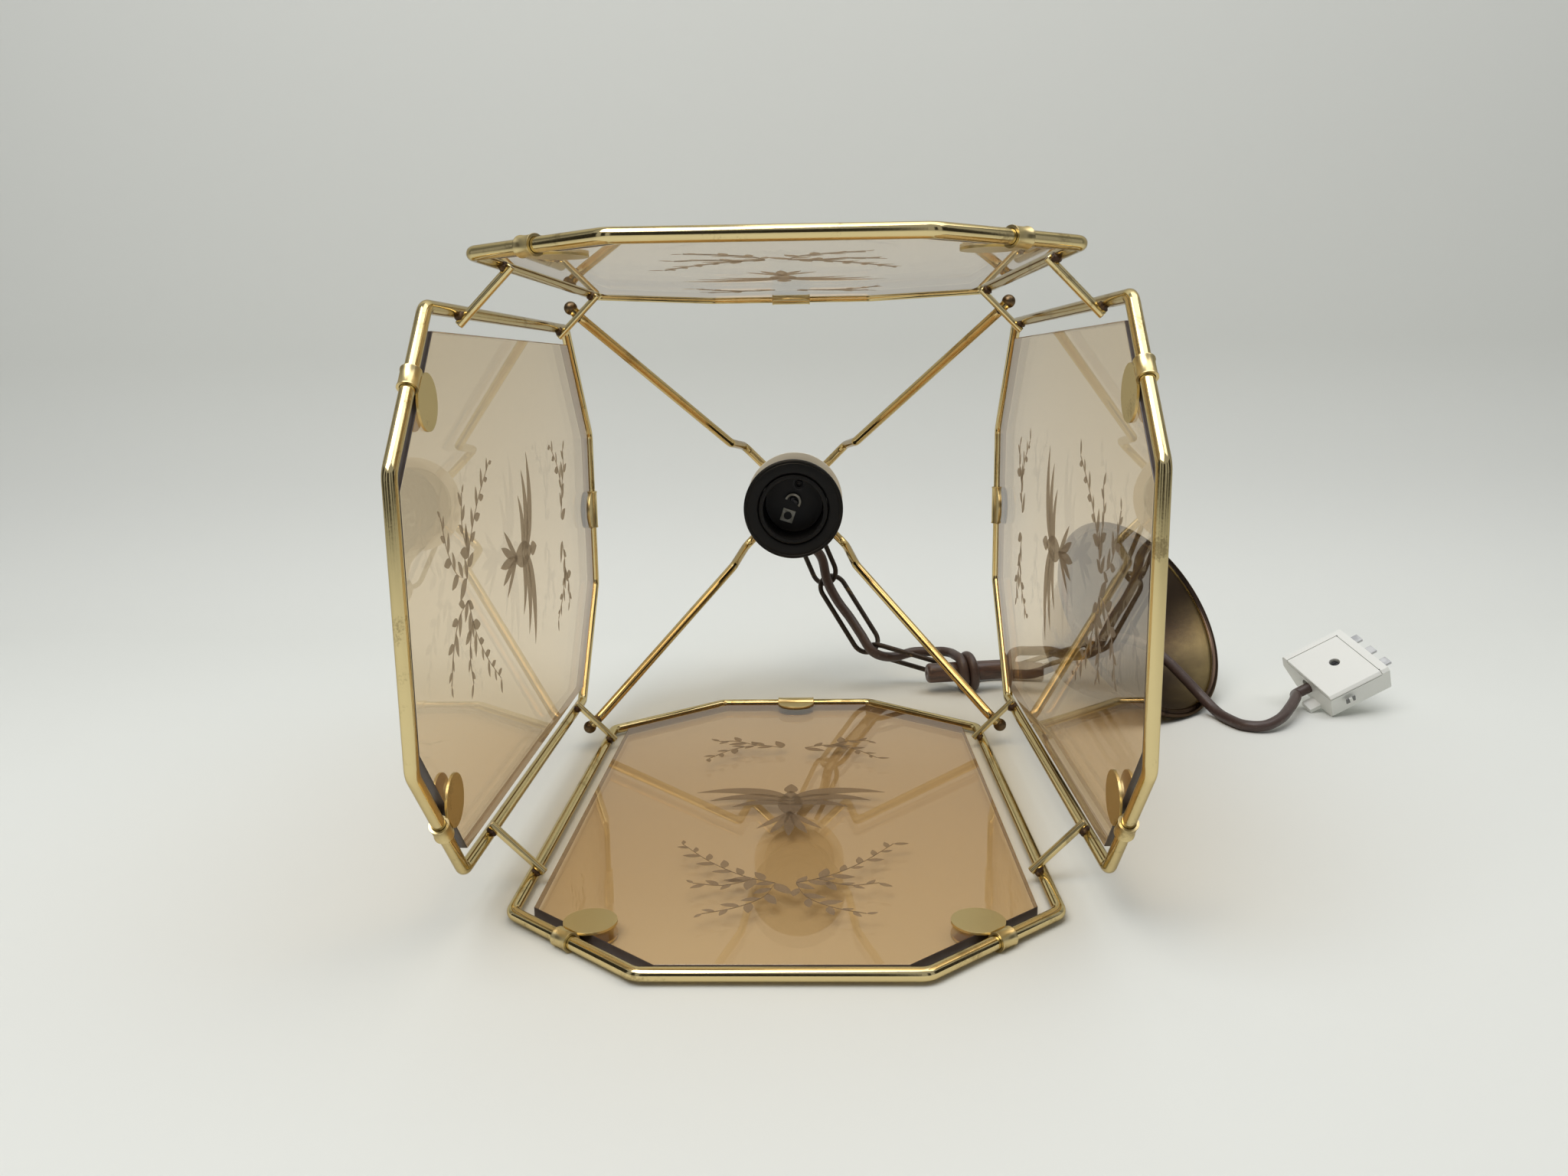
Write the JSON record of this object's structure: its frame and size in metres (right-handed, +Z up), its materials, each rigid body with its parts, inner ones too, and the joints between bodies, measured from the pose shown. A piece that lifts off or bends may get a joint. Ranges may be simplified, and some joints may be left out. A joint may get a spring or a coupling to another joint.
{
  "type": "pendant lantern",
  "caption": "Square pendant lantern with octagonal smoked-glass panels in brass rod frames, laid down with its lampholder, chain, canopy and cord with plug.",
  "frame": {"origin": "on the floor, under the middle of the box of the lantern, chain and canopy (the cord, its keeper and the plug left out)", "axes": "+Z up from the floor that the lantern lies on; +Y from the lantern's open mouth to its hanging loop; +X towards the chain's far end and the canopy"},
  "size_m": [0.4642, 0.414, 0.2432],
  "materials": {
    "brass_rod": "polished, lightly streaked",
    "pale_brass": "polished, pale",
    "canopy_brass": "polished outside, speckled with tarnish inside",
    "contact_brass": "satin",
    "dark_bronze": "dark patina",
    "smoked_glass": "polished, bronze tint, etched decor",
    "bakelite": "moulded, glossy",
    "porcelain": "glazed",
    "steel": "satin",
    "nylon": "satin",
    "cord_sheath": "satin",
    "dark_wood": "stained dark",
    "white_plastic": "satin, moulded"
  },
  "bodies": {
    "lantern": {"arm_bottom_left": "brass_rod", "arm_bottom_right": "brass_rod", "arm_top_left": "brass_rod", "arm_top_right": "brass_rod", "clip_bottom_crown": "brass_rod", "clip_bottom_mouth_a": "brass_rod", "clip_bottom_mouth_b": "brass_rod", "clip_left_crown": "brass_rod", "clip_left_mouth_a": "brass_rod", "clip_left_mouth_b": "brass_rod", "clip_right_crown": "brass_rod", "clip_right_mouth_a": "brass_rod", "clip_right_mouth_b": "brass_rod", "clip_top_crown": "brass_rod", "clip_top_mouth_a": "brass_rod", "clip_top_mouth_b": "brass_rod", "cord_keeper": "dark_wood", "cord_wrap": "cord_sheath", "frame_bottom": "brass_rod", "frame_left": "brass_rod", "frame_right": "brass_rod", "frame_top": "brass_rod", "gallery_cap": "pale_brass", "glass_bottom": "smoked_glass", "glass_left": "smoked_glass", "glass_right": "smoked_glass", "glass_top": "smoked_glass", "hanging_loop": "brass_rod", "hub": "brass_rod", "lamp_cord": "cord_sheath", "lampholder_cover": "bakelite", "lampholder_insert": "porcelain", "lampholder_shell": "bakelite", "nipple": "steel", "nipple_nut": "steel", "plug_blade_1": "steel", "plug_blade_2": "steel", "plug_blade_3": "steel", "plug_cord": "cord_sheath", "plug_housing": "white_plastic", "plug_lid": "white_plastic", "plug_screw": "steel", "side_contact": "contact_brass", "strut_crown_bottom_left": "brass_rod", "strut_crown_bottom_right": "brass_rod", "strut_crown_top_left": "brass_rod", "strut_crown_top_right": "brass_rod", "strut_mouth_bottom_left": "brass_rod", "strut_mouth_bottom_right": "brass_rod", "strut_mouth_top_left": "brass_rod", "strut_mouth_top_right": "brass_rod", "terminal_screw": "steel"},
    "link_1": {"chain_link_1": "dark_bronze"},
    "link_2": {"chain_link_2": "dark_bronze"},
    "link_3": {"chain_link_3": "dark_bronze"},
    "shade_ring": {"shade_ring": "bakelite"},
    "centre_contact": {"centre_contact": "contact_brass"},
    "canopy_grip": {"canopy_bush": "nylon", "canopy_nut": "nylon"},
    "canopy": {"canopy": "canopy_brass"}
  },
  "joints": [
    {"name": "link_1_swing", "type": "hinge", "parent": "lantern", "child": "link_1", "pos_m": [-0.06773, 0.19285, 0.11312], "axis": [0, 0.9746, -0.2239], "range_deg": [0, 0.3]},
    {"name": "link_2_swing", "type": "hinge", "parent": "link_1", "child": "link_2", "pos_m": [-0.04742, 0.18212, 0.06647], "axis": [0.7529, -0.4892, 0.4402], "range_deg": [0, 1.5]},
    {"name": "link_3_swing", "type": "hinge", "parent": "link_2", "child": "link_3", "pos_m": [-0.02069, 0.16657, 0.02466], "axis": [0.7825, 0.5473, 0.2967], "range_deg": [0, 6]},
    {"name": "shade_ring_turn", "type": "hinge", "parent": "lantern", "child": "shade_ring", "pos_m": [-0.06773, 0.1035, 0.1216], "axis": [0, 1, 0], "continuous": true},
    {"name": "contact_press", "type": "slide", "parent": "lantern", "child": "centre_contact", "axis": [0, 1, 0], "range_m": [0, 0.0015], "stiffness_N_per_m": 200},
    {"name": "canopy_grip_slide", "type": "slide", "parent": "lantern", "child": "canopy_grip", "axis": [0.5498, -0.6192, 0.5606], "range_m": [-0.003, 0]},
    {"name": "canopy_turn", "type": "hinge", "parent": "canopy_grip", "child": "canopy", "pos_m": [0.13737, 0.11739, 0.05526], "axis": [0.5498, -0.6192, 0.5606], "continuous": true}
  ]
}
